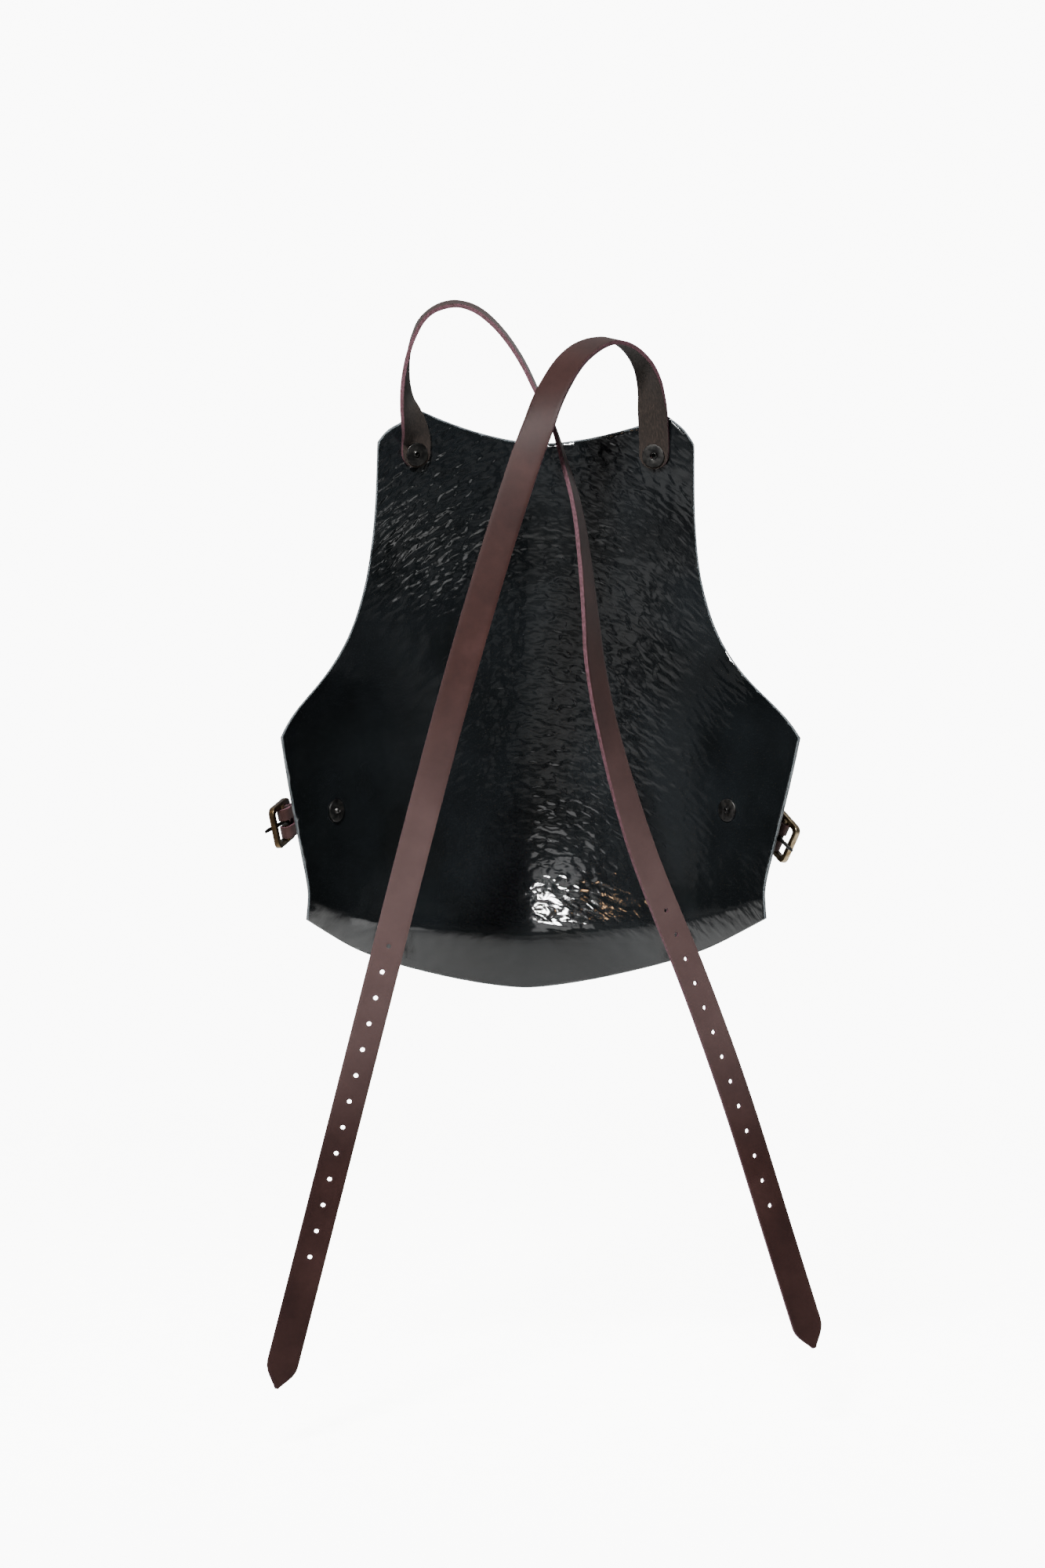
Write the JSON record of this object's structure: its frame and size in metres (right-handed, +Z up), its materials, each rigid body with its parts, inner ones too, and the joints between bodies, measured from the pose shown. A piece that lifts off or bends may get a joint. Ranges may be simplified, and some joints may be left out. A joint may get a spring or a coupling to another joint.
{
  "type": "steel breastplate",
  "caption": "Steel breastplate with a medial ridge and a flared waist flange, long riveted leather shoulder straps and buckles on its sides, hanging as taken off.",
  "frame": {"origin": "midway between the two shoulder rivets, in the plate's middle surface", "axes": "+Z up, -Y towards the front of the wearer, +X towards the wearer's left"},
  "size_m": [0.4047, 0.1939, 0.7864],
  "materials": {
    "plate_steel": "hammered steel sheet, blackened and glossy",
    "strap_leather": "dark reddish brown vegetable-tanned leather, smooth grain side and raw flesh side",
    "rivet_steel": "blackened steel, worn on its edges",
    "aged_brass": "aged brass with a brown patina",
    "tongue_steel": "blackened steel wire"
  },
  "bodies": {
    "breastplate": {"breast_plate": "plate_steel", "left_shoulder_strap": "strap_leather", "left_shoulder_rivet": "rivet_steel", "left_shoulder_washer": "rivet_steel", "left_side_rivet": "rivet_steel", "left_side_washer": "rivet_steel", "left_buckle_chape": "strap_leather", "right_shoulder_strap": "strap_leather", "right_shoulder_rivet": "rivet_steel", "right_shoulder_washer": "rivet_steel", "right_side_rivet": "rivet_steel", "right_side_washer": "rivet_steel", "right_buckle_chape": "strap_leather"},
    "left_buckle": {"left_buckle_frame": "aged_brass"},
    "left_tongue": {"left_buckle_tongue": "tongue_steel"},
    "right_buckle": {"right_buckle_frame": "aged_brass"},
    "right_tongue": {"right_buckle_tongue": "tongue_steel"}
  },
  "joints": [
    {"name": "left_buckle_swivel", "type": "hinge", "parent": "breastplate", "child": "left_buckle", "pos_m": [0.18526, 0.03633, -0.27323], "axis": [0.187, 0.259, 0.9476], "range_deg": [0, 25]},
    {"name": "left_tongue_swing", "type": "hinge", "parent": "left_buckle", "child": "left_tongue", "pos_m": [0.18526, 0.03633, -0.27323], "axis": [-0.187, -0.259, -0.9476], "range_deg": [0, 120]},
    {"name": "right_buckle_swivel", "type": "hinge", "parent": "breastplate", "child": "right_buckle", "pos_m": [-0.1791, 0.02712, -0.28332], "axis": [0.3247, -0.4047, -0.8548], "range_deg": [0, 10]},
    {"name": "right_tongue_swing", "type": "hinge", "parent": "right_buckle", "child": "right_tongue", "pos_m": [-0.1791, 0.02712, -0.28332], "axis": [0.3247, -0.4047, -0.8548], "range_deg": [0, 8]}
  ]
}
